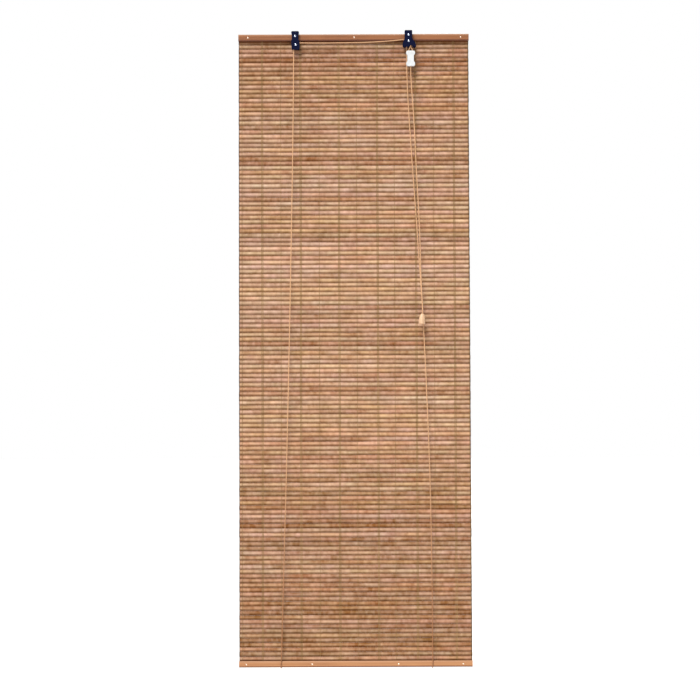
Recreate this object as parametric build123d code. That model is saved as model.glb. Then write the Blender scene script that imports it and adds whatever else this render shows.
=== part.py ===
from build123d import *

import math
import os

# A bamboo roll-up blind, fully let down. Millimetres.
#
# Frame: +X to the right of someone facing the blind, +Y towards the wall or
# window, +Z up. The origin is on the headrail's top face, midway between the
# two vertical screw holes that the blind hangs from.
#
# A mat of bamboo slats, bound by thirteen warp threads, hangs from a headrail
# of two battens and is weighted by a bottom rail of two battens. Two lift
# cords are knotted in the headrail, run down behind the mat, turn under the
# bottom rail and come up in front. The left one goes over a pulley and along
# the headrail, and both then pass over the two wheels of a cord lock and end
# in a connector, from which one pull cord hangs with a turned wooden tassel.

os.makedirs("parts", exist_ok=True)

# ---- Mat ----
blind_width = 600.0
slat_count = 139
slat_pitch = 11.75
slat_height = 11.4
slat_thickness = 3.0
slat_edge_radius = 1.3
slats_per_node = 10

# ---- Warp threads ----
thread_thickness = 0.8
thread_slat_gap = 0.15
thread_batten_gap = 0.25
thread_end_gap = 0.2
wide_thread = 6.0
thin_thread = 3.0
wide_thread_count = 6
wide_thread_pitch = 99.8
wide_thread_first_x = -238.8
thin_thread_xs = (-190.5, -91.0, 6.5, 104.5, 207.0)
edge_thread_inset_left = 8.5
edge_thread_inset_right = 3.5

# ---- Headrail and bottom rail ----
headrail_height = 17.5
headrail_back_thickness = 14.0
front_batten_thickness = 6.0
first_slat_drop = 7.8  # centre of the top slat below the headrail's top face
bottom_rail_height = 16.0
bottom_back_thickness = 5.0
last_slat_cover = 7.3  # bottom rail's top face above the last slat's centre
batten_edge_radius = 2.0
batten_back_edge_radius = 0.8

# ---- Fixing holes, nails, screws ----
fixing_hole_radius = 2.25
fixing_hole_spacing = 500.0
nail_radius = 0.8
nail_head_radius = 1.9
nail_head_height = 0.7
nail_grip = 3.6  # how deep a nail's point goes into the back batten
headrail_nail_xs = (-275.0, 2.0, 279.0)
bottom_nail_xs = (-281.0, -112.0, 110.0, 276.0)
screw_radius = 1.5
screw_head_radius = 3.1
screw_head_height = 1.8
screw_slot_width = 0.8
screw_slot_depth = 0.8
screw_grip = 6.0
fastener_clearance = 0.05
slat_hole_clearance = 0.15

# ---- Pulleys and their axles ----
cord_diameter = 2.4
pulley_groove_radius = 4.3
pulley_groove_width = 2.7
pulley_rim_radius = 7.0
pulley_rim_opening = 3.4
pulley_width = 4.2
pulley_side_gap = 0.4
axle_radius = 1.5
axle_running_gap = 0.05
axle_head_radius = 2.8
axle_head_height = 1.2
axle_tail_radius = 2.2
axle_tail_height = 0.6
cheek_thickness = 1.8
housing_edge_radius = 0.8

# ---- Left pulley bracket ----
bracket_x = -151.8
bracket_top_z = 6.4
bracket_bottom_z = -42.0
bracket_half_width = 10.0
bracket_waist = 1.5
bracket_waist_top_z = 2.4
bracket_top_corner_radius = 3.0
bracket_bottom_corner_radius = 3.6
bracket_shoulder_drop = 3.0
bracket_lobe_left_flare = 0.3
bracket_lobe_taper = 1.6
bracket_screw_z = -6.3
bracket_axle_x = -150.2
bracket_axle_z = -29.2
bracket_slot_top_z = -20.6
bracket_lobe_top_z = -19.6

# ---- Cord lock ----
lock_x = 142.8
lock_top_z = 6.8
lock_half_width = 9.8
lock_top_corner_radius = 2.2
lock_neck_z = -13.1
lock_shoulder_z = -18.9
lock_hip_z = -26.7
lock_screw_z = -5.0
lock_axle_x = 143.2
lock_axle_z = -21.1
lock_slot_top_z = -13.2
roller_radius = 2.3
roller_flute_count = 14
roller_flute_depth = 0.25
roller_pin_radius = 1.0
roller_pin_length = 0.9
roller_slot_depth = 1.1
roller_pin_gap = 0.1
roller_end_gap = 0.3
roller_rest = (154.0, -31.6)
roller_travel = 2.8
roller_rise_deg = 120.0  # up and towards the cords
rib_width = 2.4
rib_cord_gap = 0.3
rib_top_z = -28.6
rib_bottom_z = -31.4
arch_half_width = 4.6
arch_cord_gap = 0.1
arch_apex_z = -32.6
lock_bottom_z = -37.4

# ---- Knots in the headrail ----
anchor_hole_radius = 1.6
anchor_recess_radius = 4.2
anchor_recess_depth = 7.4
anchor_knot_radius = 3.6
anchor_knot_head_room = 0.6
anchor_knot_pinch = 0.5
anchor_left_x = -164.0
anchor_right_x = 155.0

# ---- Connector ----
connector_x = 148.1
connector_y = -28.2
connector_top_z = -46.9
connector_height = 40.4
connector_width = 23.0
connector_waist = 17.0
connector_lobe_height = 12.0
connector_wall = 1.4
connector_end_wall = 2.4
connector_lobe_radius = 4.8
connector_waist_blend = 3.0
connector_edge_radius = 1.2
pocket_lobe_radius = 3.6
pocket_waist_blend = 1.5
connector_hole_offset = 5.3
connector_hole_radius = 1.5
small_knot_radius = 2.25
small_knot_height = 5.4
small_knot_pinch = 0.4
knot_gap = 0.3
knot_front_gap = 0.35  # between a knot and the connector's front wall

# ---- Tassel ----
tassel_top = (175.2, -31.8, -730.6)
tassel_tilt_deg = 4.0
tassel_height = 26.0
tassel_radius = 8.5
tassel_neck_radius = 3.0
tassel_mouth_radius = 6.2
tassel_hollow_depth = 13.5
tassel_hole_radius = 1.6
tassel_knot_radius = 3.4
tassel_knot_height = 5.6
tassel_knot_pinch = 0.5

# ---- Places that follow from the sizes above ----
mat_space = slat_thickness + 2 * (thread_slat_gap + thread_thickness + thread_batten_gap)
headrail_back_y = headrail_back_thickness / 2
mat_back_y = -headrail_back_thickness / 2
mat_front_y = mat_back_y - mat_space
mat_y = (mat_back_y + mat_front_y) / 2
rail_front_y = mat_front_y - front_batten_thickness
last_slat_z = -first_slat_drop - (slat_count - 1) * slat_pitch
bottom_rail_top_z = last_slat_z + last_slat_cover
bottom_rail_bottom_z = bottom_rail_top_z - bottom_rail_height
headrail_nail_z = -headrail_height / 2
bottom_nail_z = (bottom_rail_top_z + bottom_rail_bottom_z) / 2
single_slot = pulley_width + 2 * pulley_side_gap
double_slot = 2 * pulley_width + 3 * pulley_side_gap
slot_back_y = rail_front_y - cheek_thickness
rear_wheel_y = slot_back_y - pulley_side_gap - pulley_width / 2
front_wheel_y = rear_wheel_y - pulley_width - pulley_side_gap
bracket_front_y = slot_back_y - single_slot - cheek_thickness
lock_front_y = slot_back_y - double_slot - cheek_thickness
cord_radius = cord_diameter / 2

# ---- Cord routes: corner points, in order from each cord's fixed end ----
lift_cord_left_route = [
    (-164.0, 0.0, -7.6),
    (-164.1, 0.0, -40.0),
    (-191.7, 0.0, -1637.1),
    (-191.8, -1.1, -1638.9),
    (-191.8, -2.9, -1640.0),
    (-191.9, -17.5, -1640.0),
    (-191.9, -19.3, -1638.9),
    (-191.8, -20.4, -1637.1),
    (-187.5, -20.8, -1500.0),
    (-183.3, -21.0, -1360.0),
    (-177.7, -21.3, -1160.0),
    (-173.5, -21.5, -1000.0),
    (-169.2, -21.8, -820.0),
    (-165.0, -22.0, -630.0),
    (-160.8, -22.3, -420.0),
    (-157.8, -22.5, -240.0),
    (-156.2, -22.6, -110.0),
    (-155.8, -22.7, -27.7),
    (-154.3, -22.7, -25.1),
    (-151.7, -22.7, -23.6),
    (-95.0, -23.6, -24.5),
    (-35.0, -24.6, -24.7),
    (25.0, -25.5, -23.9),
    (80.0, -26.4, -21.8),
    (122.0, -27.2, -18.2),
    (144.1, -27.3, -15.3),
    (147.05, -27.3, -16.7),
    (148.8, -27.3, -19.5),
    (148.8, -27.4, -34.5),
    (142.8, -28.2, -45.6),
    (142.8, -28.2, -49.6),
]
lift_cord_right_route = [
    (155.0, 0.0, -7.6),
    (155.2, 0.0, -40.0),
    (197.3, 0.0, -1637.1),
    (197.4, -1.1, -1638.9),
    (197.4, -2.9, -1640.0),
    (197.5, -17.5, -1640.0),
    (197.5, -19.3, -1638.9),
    (197.4, -20.4, -1637.1),
    (197.1, -20.7, -1510.0),
    (196.1, -21.0, -1360.0),
    (193.9, -21.2, -1200.0),
    (190.7, -21.3, -1080.0),
    (186.2, -21.4, -950.0),
    (180.7, -21.5, -815.0),
    (175.0, -21.6, -703.0),
    (168.0, -21.7, -590.0),
    (160.2, -21.8, -475.0),
    (151.8, -21.9, -350.0),
    (145.3, -22.0, -250.0),
    (139.8, -22.1, -155.0),
    (137.8, -22.2, -80.0),
    (137.6, -22.7, -19.6),
    (139.1, -22.7, -17.0),
    (141.7, -22.7, -15.5),
    (144.7, -22.7, -15.5),
    (147.3, -22.7, -17.0),
    (148.8, -22.7, -19.6),
    (148.9, -23.4, -34.5),
    (153.4, -28.2, -45.6),
    (153.4, -28.2, -49.6),
]
pull_cord_route = [
    (148.1, -28.2, -84.6),
    (148.1, -28.2, -108.0),
    (150.5, -28.5, -150.0),
    (153.4, -28.8, -190.0),
    (156.0, -29.1, -232.0),
    (158.2, -29.4, -278.0),
    (160.1, -29.8, -332.0),
    (162.8, -30.1, -388.0),
    (165.9, -30.4, -444.0),
    (168.3, -30.8, -500.0),
    (170.1, -31.1, -556.0),
    (171.3, -31.4, -612.0),
    (172.7, -31.6, -664.0),
    (174.7, -31.7, -700.0),
    (176.0, -31.8, -719.0),
    (174.3, -31.8, -742.9),
]


def save(name, *solids):
    """Writes one node's solids to its file."""
    for solid in solids:
        assert solid.is_valid and solid.volume > 0, name
    shape = solids[0] if len(solids) == 1 else Compound(children=list(solids))
    export_step(shape, f"parts/{name}.step")


def bar_along_x(thickness, height, radius, length):
    """A straight bar with rounded long edges, centred on the origin."""
    return extrude(Plane.YZ * RectangleRounded(thickness, height, radius), length / 2, both=True)


def rod_along_y(x, z, y_front, y_back, radius):
    """A round rod from y_front to y_back."""
    middle = (y_front + y_back) / 2
    return Pos(x, middle, z) * Rot(90, 0, 0) * Cylinder(radius, y_back - y_front)


def solid_of(shape):
    """The one solid of a shape that is a single piece."""
    (solid,) = shape.solids()
    return solid


# ---- Nails and screws, and the holes that they need ----
def dome(x, z, y_face, radius, height):
    """A low domed head that stands forward of a face at y_face."""
    arc_radius = (radius**2 + height**2) / (2 * height)
    profile = make_face(
        [
            Line((0, 0), (radius, 0)),
            RadiusArc((radius, 0), (0, height), -arc_radius),
            Line((0, height), (0, 0)),
        ]
    )
    return Pos(x, y_face, z) * Rot(90, 0, 0) * revolve(Plane.XZ * profile, Axis.Z)


def nail(x, z, y_back):
    """A round wire nail with a low domed head on the rail's front face."""
    shank = rod_along_y(x, z, rail_front_y, y_back, nail_radius)
    return solid_of(shank + dome(x, z, rail_front_y, nail_head_radius, nail_head_height))


def screw(x, z, y_face):
    """A slotted dome-head screw that runs from a housing into the back batten."""
    shank = rod_along_y(x, z, y_face, mat_back_y + screw_grip, screw_radius)
    head = dome(x, z, y_face, screw_head_radius, screw_head_height)
    slot = Pos(x, y_face - screw_head_height, z) * Box(
        2 * screw_head_radius, 2 * screw_slot_depth, screw_slot_width
    )
    return solid_of(shank + (head - slot))


def drilled(piece, places, radius, y_front, y_back):
    """The piece with a round hole along Y at each place."""
    for x, z in places:
        piece = piece - rod_along_y(x, z, y_front, y_back, radius)
    return solid_of(piece)


headrail_nail_places = [(x, headrail_nail_z) for x in headrail_nail_xs]
bottom_nail_places = [(x, bottom_nail_z) for x in bottom_nail_xs]
screw_places = [(bracket_x, bracket_screw_z), (lock_x, lock_screw_z)]
nail_hole_radius = nail_radius + fastener_clearance
screw_hole_radius = screw_radius + fastener_clearance


# ---- Battens ----
def batten(y_front, y_back, z_top, z_bottom, front_radius, back_radius):
    """A wooden batten across the blind, its front and back edges rounded over."""
    block = Pos(0, (y_front + y_back) / 2, (z_top + z_bottom) / 2) * Box(
        blind_width, y_back - y_front, z_top - z_bottom
    )
    long_edges = block.edges().filter_by(Axis.X)
    block = fillet(long_edges.group_by(Axis.Y)[0], front_radius)
    long_edges = block.edges().filter_by(Axis.X)
    return fillet(long_edges.group_by(Axis.Y)[-1], back_radius)


headrail_front = batten(
    rail_front_y, mat_front_y, 0, -headrail_height, batten_edge_radius, batten_back_edge_radius
)
headrail_front = drilled(
    headrail_front, headrail_nail_places, nail_hole_radius, rail_front_y, mat_front_y
)
headrail_front = drilled(
    headrail_front, screw_places, screw_hole_radius, rail_front_y, mat_front_y
)
save("headrail_front_batten", headrail_front)

headrail_back = batten(
    mat_back_y,
    headrail_back_y,
    0,
    -headrail_height,
    batten_back_edge_radius,
    batten_back_edge_radius,
)
headrail_back = drilled(
    headrail_back,
    headrail_nail_places,
    nail_hole_radius,
    mat_back_y,
    mat_back_y + nail_grip + fastener_clearance,
)
headrail_back = drilled(
    headrail_back,
    screw_places,
    screw_hole_radius,
    mat_back_y,
    mat_back_y + screw_grip + fastener_clearance,
)
for x in (-fixing_hole_spacing / 2, fixing_hole_spacing / 2):
    headrail_back = headrail_back - Pos(x, 0, -headrail_height / 2) * Cylinder(
        fixing_hole_radius, headrail_height
    )
for x in (anchor_left_x, anchor_right_x):
    headrail_back = headrail_back - Pos(x, 0, -headrail_height / 2) * Cylinder(
        anchor_hole_radius, headrail_height
    )
    headrail_back = headrail_back - Pos(x, 0, -anchor_recess_depth / 2) * Cylinder(
        anchor_recess_radius, anchor_recess_depth
    )
save("headrail_back_batten", solid_of(headrail_back))

bottom_front = batten(
    rail_front_y,
    mat_front_y,
    bottom_rail_top_z,
    bottom_rail_bottom_z,
    batten_edge_radius,
    batten_back_edge_radius,
)
bottom_front = drilled(
    bottom_front, bottom_nail_places, nail_hole_radius, rail_front_y, mat_front_y
)
save("bottom_rail_front_batten", bottom_front)

bottom_back = batten(
    mat_back_y,
    mat_back_y + bottom_back_thickness,
    bottom_rail_top_z,
    bottom_rail_bottom_z,
    batten_back_edge_radius,
    batten_edge_radius,
)
bottom_back = drilled(
    bottom_back,
    bottom_nail_places,
    nail_hole_radius,
    mat_back_y,
    mat_back_y + nail_grip + fastener_clearance,
)
save("bottom_rail_back_batten", bottom_back)

nail_back_y = mat_back_y + nail_grip
save("headrail_nails", *[nail(x, z, nail_back_y) for x, z in headrail_nail_places])
save("bottom_rail_nails", *[nail(x, z, nail_back_y) for x, z in bottom_nail_places])


# ---- Slats ----
plain_slat = solid_of(bar_along_x(slat_thickness, slat_height, slat_edge_radius, blind_width))
fastener_places = [
    *[(x, z, nail_radius) for x, z in headrail_nail_places + bottom_nail_places],
    *[(x, z, screw_radius) for x, z in screw_places],
]


def slat(index):
    """One bamboo slat, bored where a nail or screw passes through it."""
    z_middle = -first_slat_drop - index * slat_pitch
    piece = Pos(0, mat_y, z_middle) * plain_slat
    for x, z, radius in fastener_places:
        if abs(z - z_middle) < slat_height / 2 + radius:
            piece = piece - rod_along_y(
                x, z, mat_front_y, mat_back_y, radius + slat_hole_clearance
            )
    return solid_of(piece)


for first in range(0, slat_count, slats_per_node):
    group = range(first, min(first + slats_per_node, slat_count))
    save(f"slats_{first // slats_per_node + 1:02d}", *[slat(i) for i in group])


# ---- Warp threads ----
def warp_thread(x, width):
    """One warp: a front and a back strand that meet above the top slat and below the last.

    Modelled as one long flat loop that stands clear of the slats.
    """
    half_window = slat_thickness / 2 + thread_slat_gap
    half_depth = half_window + thread_thickness
    window_top = -first_slat_drop + slat_height / 2 + thread_end_gap
    window_bottom = last_slat_z - slat_height / 2 - thread_end_gap
    height = window_top - window_bottom
    middle = Pos(x, mat_y, (window_top + window_bottom) / 2)
    loop = middle * Box(width, 2 * half_depth, height + 2 * thread_thickness)
    return solid_of(loop - middle * Box(2 * width, 2 * half_window, height))


thread_lines = [
    (wide_thread_first_x + i * wide_thread_pitch, wide_thread) for i in range(wide_thread_count)
]
thread_lines += [(x, thin_thread) for x in thin_thread_xs]
thread_lines += [
    (-blind_width / 2 + edge_thread_inset_left, thin_thread),
    (blind_width / 2 - edge_thread_inset_right, thin_thread),
]
for number, (x, width) in enumerate(sorted(thread_lines), 1):
    save(f"warp_thread_{number:02d}", warp_thread(x, width))


# ---- Pulley wheels and axles ----
def pulley_wheel(x, y, z):
    """A grooved wheel, bored to run on its axle."""
    half = pulley_width / 2
    bore = axle_radius + axle_running_gap
    profile = Polyline(
        (bore, -half),
        (pulley_rim_radius, -half),
        (pulley_rim_radius, -pulley_rim_opening / 2),
        (pulley_groove_radius, -pulley_groove_width / 2),
        (pulley_groove_radius, pulley_groove_width / 2),
        (pulley_rim_radius, pulley_rim_opening / 2),
        (pulley_rim_radius, half),
        (bore, half),
        close=True,
    )
    wheel = revolve(Plane.XZ * make_face(profile), Axis.Z)
    return Pos(x, y, z) * Rot(90, 0, 0) * solid_of(wheel)


def axle(x, z, y_face):
    """A riveted axle pin: a domed head in front, a flat set head behind."""
    shank = rod_along_y(x, z, y_face, rail_front_y, axle_radius)
    tail = rod_along_y(x, z, rail_front_y, rail_front_y + axle_tail_height, axle_tail_radius)
    head = dome(x, z, y_face, axle_head_radius, axle_head_height)
    return solid_of(shank + tail + head)


save("left_pulley_wheel", pulley_wheel(bracket_axle_x, rear_wheel_y, bracket_axle_z))
save("left_pulley_axle", axle(bracket_axle_x, bracket_axle_z, bracket_front_y))
save("left_pulley_screw", screw(bracket_x, bracket_screw_z, bracket_front_y))
save("lock_pulley_rear", pulley_wheel(lock_axle_x, rear_wheel_y, lock_axle_z))
save("lock_pulley_front", pulley_wheel(lock_axle_x, front_wheel_y, lock_axle_z))
save("lock_axle", axle(lock_axle_x, lock_axle_z, lock_front_y))
save("lock_screw", screw(lock_x, lock_screw_z, lock_front_y))


# ---- Housings ----
def plate(face_edges, y_front):
    """A plate of the given XZ outline, from y_front back to the headrail's face."""
    return extrude(make_face(face_edges), rail_front_y - y_front, dir=(0, 1, 0)).moved(
        Pos(0, y_front, 0)
    )


def xz(points):
    """Points of the XZ plane as 3-D points."""
    return [(x, 0, z) for x, z in points]


def fork(block, slot_top_z, slot_depth, bottom_z, middle_x, half_reach):
    """The block with the slot that the wheels run in, open below and at both sides."""
    slot_front_y = slot_back_y - slot_depth
    height = slot_top_z - bottom_z + cheek_thickness
    return block - Pos(
        middle_x, (slot_back_y + slot_front_y) / 2, slot_top_z - height / 2
    ) * Box(2 * half_reach, slot_depth, height)


left, right = bracket_x - bracket_half_width, bracket_x + bracket_half_width
waist_z = bracket_screw_z - pulley_rim_radius / 2
bracket_lobe_left = left - bracket_lobe_left_flare
bracket_lobe_right = bracket_axle_x + bracket_half_width
lobe_shoulder_z = bracket_lobe_top_z - bracket_shoulder_drop
bracket_outline = [
    *Polyline(
        *xz(
            [
                (left, bracket_waist_top_z),
                (left, bracket_top_z),
                (right, bracket_top_z),
                (right, bracket_waist_top_z),
            ]
        )
    ).edges(),
    ThreePointArc(
        *xz(
            [
                (right, bracket_waist_top_z),
                (right - bracket_waist, waist_z),
                (right, bracket_lobe_top_z),
            ]
        )
    ),
    *Polyline(
        *xz(
            [
                (right, bracket_lobe_top_z),
                (bracket_lobe_right, lobe_shoulder_z),
                (bracket_lobe_right, bracket_bottom_z),
                (bracket_lobe_left + bracket_lobe_taper, bracket_bottom_z),
                (bracket_lobe_left, lobe_shoulder_z),
                (left, bracket_lobe_top_z),
            ]
        )
    ).edges(),
    ThreePointArc(
        *xz(
            [
                (left, bracket_lobe_top_z),
                (left + bracket_waist, waist_z),
                (left, bracket_waist_top_z),
            ]
        )
    ),
]
bracket = plate(bracket_outline, bracket_front_y)
corners = bracket.edges().filter_by(Axis.Y).group_by(Axis.Z)
bracket = fillet(corners[-1], bracket_top_corner_radius)
corners = bracket.edges().filter_by(Axis.Y).group_by(Axis.Z)
bracket = fillet(corners[0], bracket_bottom_corner_radius)
bracket = fillet(bracket.faces().sort_by(Axis.Y)[0].outer_wire().edges(), housing_edge_radius)
bracket = fork(
    bracket, bracket_slot_top_z, single_slot, bracket_bottom_z, bracket_x, 2 * bracket_half_width
)
bracket = bracket - rod_along_y(
    bracket_axle_x, bracket_axle_z, bracket_front_y, rail_front_y, axle_radius
)
bracket = bracket - rod_along_y(
    bracket_x, bracket_screw_z, bracket_front_y, rail_front_y, screw_hole_radius
)
save("left_pulley_housing", solid_of(bracket))

left, right = lock_x - lock_half_width, lock_x + lock_half_width
lock_cord_edge_x = lock_axle_x + pulley_groove_radius + arch_cord_gap
arch_x = lock_cord_edge_x + cord_radius
lock_outline = [
    *Polyline(
        *xz(
            [
                (arch_x - arch_half_width, lock_bottom_z + 0.6),
                (left - 1.6, lock_bottom_z + 0.2),
                (left - 5.0, lock_bottom_z + 4.2),
                (left - 5.2, lock_hip_z),
                (left - 1.8, lock_shoulder_z),
                (left, lock_neck_z),
                (left, lock_top_z),
                (right, lock_top_z),
                (right - 0.2, lock_neck_z),
                (right + 2.8, lock_shoulder_z),
                (right + 7.6, lock_hip_z),
                (right + 10.2, lock_bottom_z + 4.0),
                (right + 6.6, lock_bottom_z),
                (arch_x + arch_half_width, lock_bottom_z + 2.0),
            ]
        )
    ).edges(),
    ThreePointArc(
        *xz(
            [
                (arch_x + arch_half_width, lock_bottom_z + 2.0),
                (arch_x, arch_apex_z),
                (arch_x - arch_half_width, lock_bottom_z + 0.6),
            ]
        )
    ),
]
lock = plate(lock_outline, lock_front_y)
lock = fillet(lock.edges().filter_by(Axis.Y).group_by(Axis.Z)[-1], lock_top_corner_radius)
lock = fillet(lock.faces().sort_by(Axis.Y)[0].outer_wire().edges(), housing_edge_radius)
lock = fork(lock, lock_slot_top_z, double_slot, lock_bottom_z, lock_x, 3 * lock_half_width)
rib_right_x = lock_cord_edge_x - rib_cord_gap
lock = lock + Pos(
    rib_right_x - rib_width / 2,
    slot_back_y - double_slot / 2,
    (rib_top_z + rib_bottom_z) / 2,
) * Box(rib_width, double_slot, rib_top_z - rib_bottom_z)
lock = lock - rod_along_y(lock_axle_x, lock_axle_z, lock_front_y, rail_front_y, axle_radius)
lock = lock - rod_along_y(lock_x, lock_screw_z, lock_front_y, rail_front_y, screw_hole_radius)

# The roller's two stub pins ride in blind slots in the cheeks' inner faces.
rise = math.radians(roller_rise_deg)
travel_x, travel_z = roller_travel * math.cos(rise), roller_travel * math.sin(rise)
track = extrude(
    Plane.XZ
    * Pos(roller_rest[0] + travel_x / 2, roller_rest[1] + travel_z / 2)
    * Rot(0, 0, roller_rise_deg)
    * SlotCenterToCenter(roller_travel, 2 * (roller_pin_radius + roller_pin_gap)),
    (double_slot + 2 * roller_slot_depth) / 2,
    both=True,
)
lock = lock - Pos(0, slot_back_y - double_slot / 2, 0) * track
save("cord_lock_housing", solid_of(lock))


# ---- Locking roller ----
def locking_roller():
    """A fluted roller with a stub pin at each end, at its free, lowest place."""
    length = double_slot - 2 * roller_end_gap
    body = Cylinder(roller_radius, length)
    for i in range(roller_flute_count):
        turn = 360 * i / roller_flute_count
        body = body - Rot(0, 0, turn) * Pos(roller_radius + roller_flute_depth, 0, 0) * Cylinder(
            2 * roller_flute_depth, length
        )
    body = body + Cylinder(roller_pin_radius, length + 2 * roller_pin_length)
    x, z = roller_rest
    return Pos(x, slot_back_y - double_slot / 2, z) * Rot(90, 0, 0) * solid_of(body)


save("lock_roller", locking_roller())


# ---- Knots ----
def knot(radius, height, pinch):
    """A pulled-tight knot: a barrel with rounded ends and a waist round its middle."""
    half = height / 2
    flat = cord_radius + 0.1
    profile = make_face(
        [
            *Polyline((0, -half), (flat, -half)).edges(),
            ThreePointArc((flat, -half), (radius, -half / 2), (radius - pinch, 0)),
            ThreePointArc((radius - pinch, 0), (radius, half / 2), (flat, half)),
            *Polyline((flat, half), (0, half), (0, -half)).edges(),
        ]
    )
    return solid_of(revolve(Plane.XZ * profile, Axis.Z))


anchor_knot_height = anchor_recess_depth - knot_gap - anchor_knot_head_room
for side, x in (("left", anchor_left_x), ("right", anchor_right_x)):
    save(
        f"anchor_knot_{side}",
        Pos(x, 0, -anchor_recess_depth + knot_gap + anchor_knot_height / 2)
        * knot(anchor_knot_radius, anchor_knot_height, anchor_knot_pinch),
    )

small_knot_z = connector_top_z - connector_end_wall - knot_gap - small_knot_height / 2
small_knot = knot(small_knot_radius, small_knot_height, small_knot_pinch)
for side, sign in (("left", -1), ("right", 1)):
    save(
        f"connector_knot_{side}",
        Pos(connector_x + sign * connector_hole_offset, connector_y, small_knot_z) * small_knot,
    )
connector_bottom_z = connector_top_z - connector_height
pull_knot_z = connector_bottom_z + connector_end_wall + knot_gap + small_knot_height / 2
save("pull_cord_knot", Pos(connector_x, connector_y, pull_knot_z) * small_knot)


# ---- Connector ----
connector_depth = 2 * (small_knot_radius + knot_front_gap + connector_wall)


def dog_bone(width, waist, height, lobe_height, lobe_radius, blend_radius):
    """A flat outline with a wide rounded lobe at each end and a narrower middle."""
    outline = Rectangle(waist, height - lobe_height)
    for sign in (-1, 1):
        outline += Pos(0, sign * (height - lobe_height) / 2) * RectangleRounded(
            width, lobe_height, lobe_radius
        )
    inner = [
        v
        for v in outline.vertices()
        if abs(abs(v.X) - waist / 2) < 0.01 and abs(v.Y) < height / 2 - lobe_height / 2
    ]
    return fillet(inner, blend_radius)


middle_z = (connector_top_z + connector_bottom_z) / 2
shell_outline = dog_bone(
    connector_width,
    connector_waist,
    connector_height,
    connector_lobe_height,
    connector_lobe_radius,
    connector_waist_blend,
)
connector = extrude(Plane.XZ * shell_outline, connector_depth / 2, both=True)
connector = fillet(connector.faces().sort_by(Axis.Y)[0].outer_wire().edges(), connector_edge_radius)
pocket_outline = dog_bone(
    connector_width - 2 * connector_wall,
    connector_waist - 2 * connector_wall,
    connector_height - 2 * connector_end_wall,
    connector_lobe_height - connector_end_wall,
    pocket_lobe_radius,
    pocket_waist_blend,
)
pocket = extrude(Plane.XZ * pocket_outline, connector_depth / 2, both=True)
connector = connector - Pos(0, connector_wall, 0) * pocket
for offset, top in ((-connector_hole_offset, 1), (connector_hole_offset, 1), (0, -1)):
    connector = connector - Pos(offset, 0, top * connector_height / 2) * Cylinder(
        connector_hole_radius, 3 * connector_end_wall
    )
save("cord_connector", Pos(connector_x, connector_y, middle_z) * solid_of(connector))


# ---- Tassel ----
def tassel():
    """A turned wooden bell, bored for the cord and hollowed from below."""
    outer = make_face(
        [
            Line((0, 0), (tassel_neck_radius, 0)),
            ThreePointArc(
                (tassel_neck_radius, 0),
                (tassel_radius * 0.72, -tassel_height * 0.17),
                (tassel_radius * 0.88, -tassel_height * 0.42),
            ),
            ThreePointArc(
                (tassel_radius * 0.88, -tassel_height * 0.42),
                (tassel_radius, -tassel_height * 0.72),
                (tassel_radius * 0.96, -tassel_height),
            ),
            Line((tassel_radius * 0.96, -tassel_height), (0, -tassel_height)),
            Line((0, -tassel_height), (0, 0)),
        ]
    )
    body = revolve(Plane.XZ * outer, Axis.Z)
    body = body - Pos(0, 0, -tassel_height + tassel_hollow_depth / 2) * Cylinder(
        tassel_mouth_radius, tassel_hollow_depth
    )
    return solid_of(body - Pos(0, 0, -tassel_height / 2) * Cylinder(tassel_hole_radius, tassel_height))


tassel_place = Pos(*tassel_top) * Rot(0, tassel_tilt_deg, 0)
save("tassel", tassel_place * tassel())
tassel_knot_top = -(tassel_height - tassel_hollow_depth) - knot_gap
save(
    "tassel_knot",
    tassel_place
    * Pos(0, 0, tassel_knot_top - tassel_knot_height / 2)
    * knot(tassel_knot_radius, tassel_knot_height, tassel_knot_pinch),
)


# ---- Cords ----
def cord(name, route):
    """A round cord along straight runs joined by tangent arcs, each as large as its runs allow."""
    points = [Vector(*p) for p in route]
    runs = [b - a for a, b in zip(points, points[1:])]
    radii = []
    for before, after in zip(runs, runs[1:]):
        half_turn = math.radians(before.get_angle(after)) / 2
        radii.append(0.45 * min(before.length, after.length) / math.tan(half_turn))
    path = FilletPolyline(*points, radius=radii)
    start = Plane(origin=points[0], z_dir=runs[0])
    tube = solid_of(sweep(start * Circle(cord_radius), path=path))
    ideal = math.pi * cord_radius**2 * path.length
    print(
        name,
        f"length {path.length:.1f} mm, tightest radius {min(radii):.2f} mm,",
        f"volume over section times length {tube.volume / ideal:.4f}",
    )
    save(name, tube)


cord("lift_cord_left", lift_cord_left_route)
cord("lift_cord_right", lift_cord_right_route)
cord("pull_cord", pull_cord_route)
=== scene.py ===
# %% [markdown]
# # A bamboo roll-up blind, fully let down
#
# The blind is a mat of 139 bamboo slats between a headrail and a bottom rail.
# Thirteen warps of twisted yarn bind the slats. Two lift cords run down behind
# the mat, round the bottom rail and up in front to a pulley and a cord lock,
# and a pull cord with a turned wooden tassel hangs from their connector.
#
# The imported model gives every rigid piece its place. This script adds what a
# solid can't say: the bowed, uneven slats, the twist of the yarn, the cords'
# own curves, the knots, and the finish of every surface. All sizes are metres.

import math

import bpy
import numpy as np
from mathutils import Matrix, Vector


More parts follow.
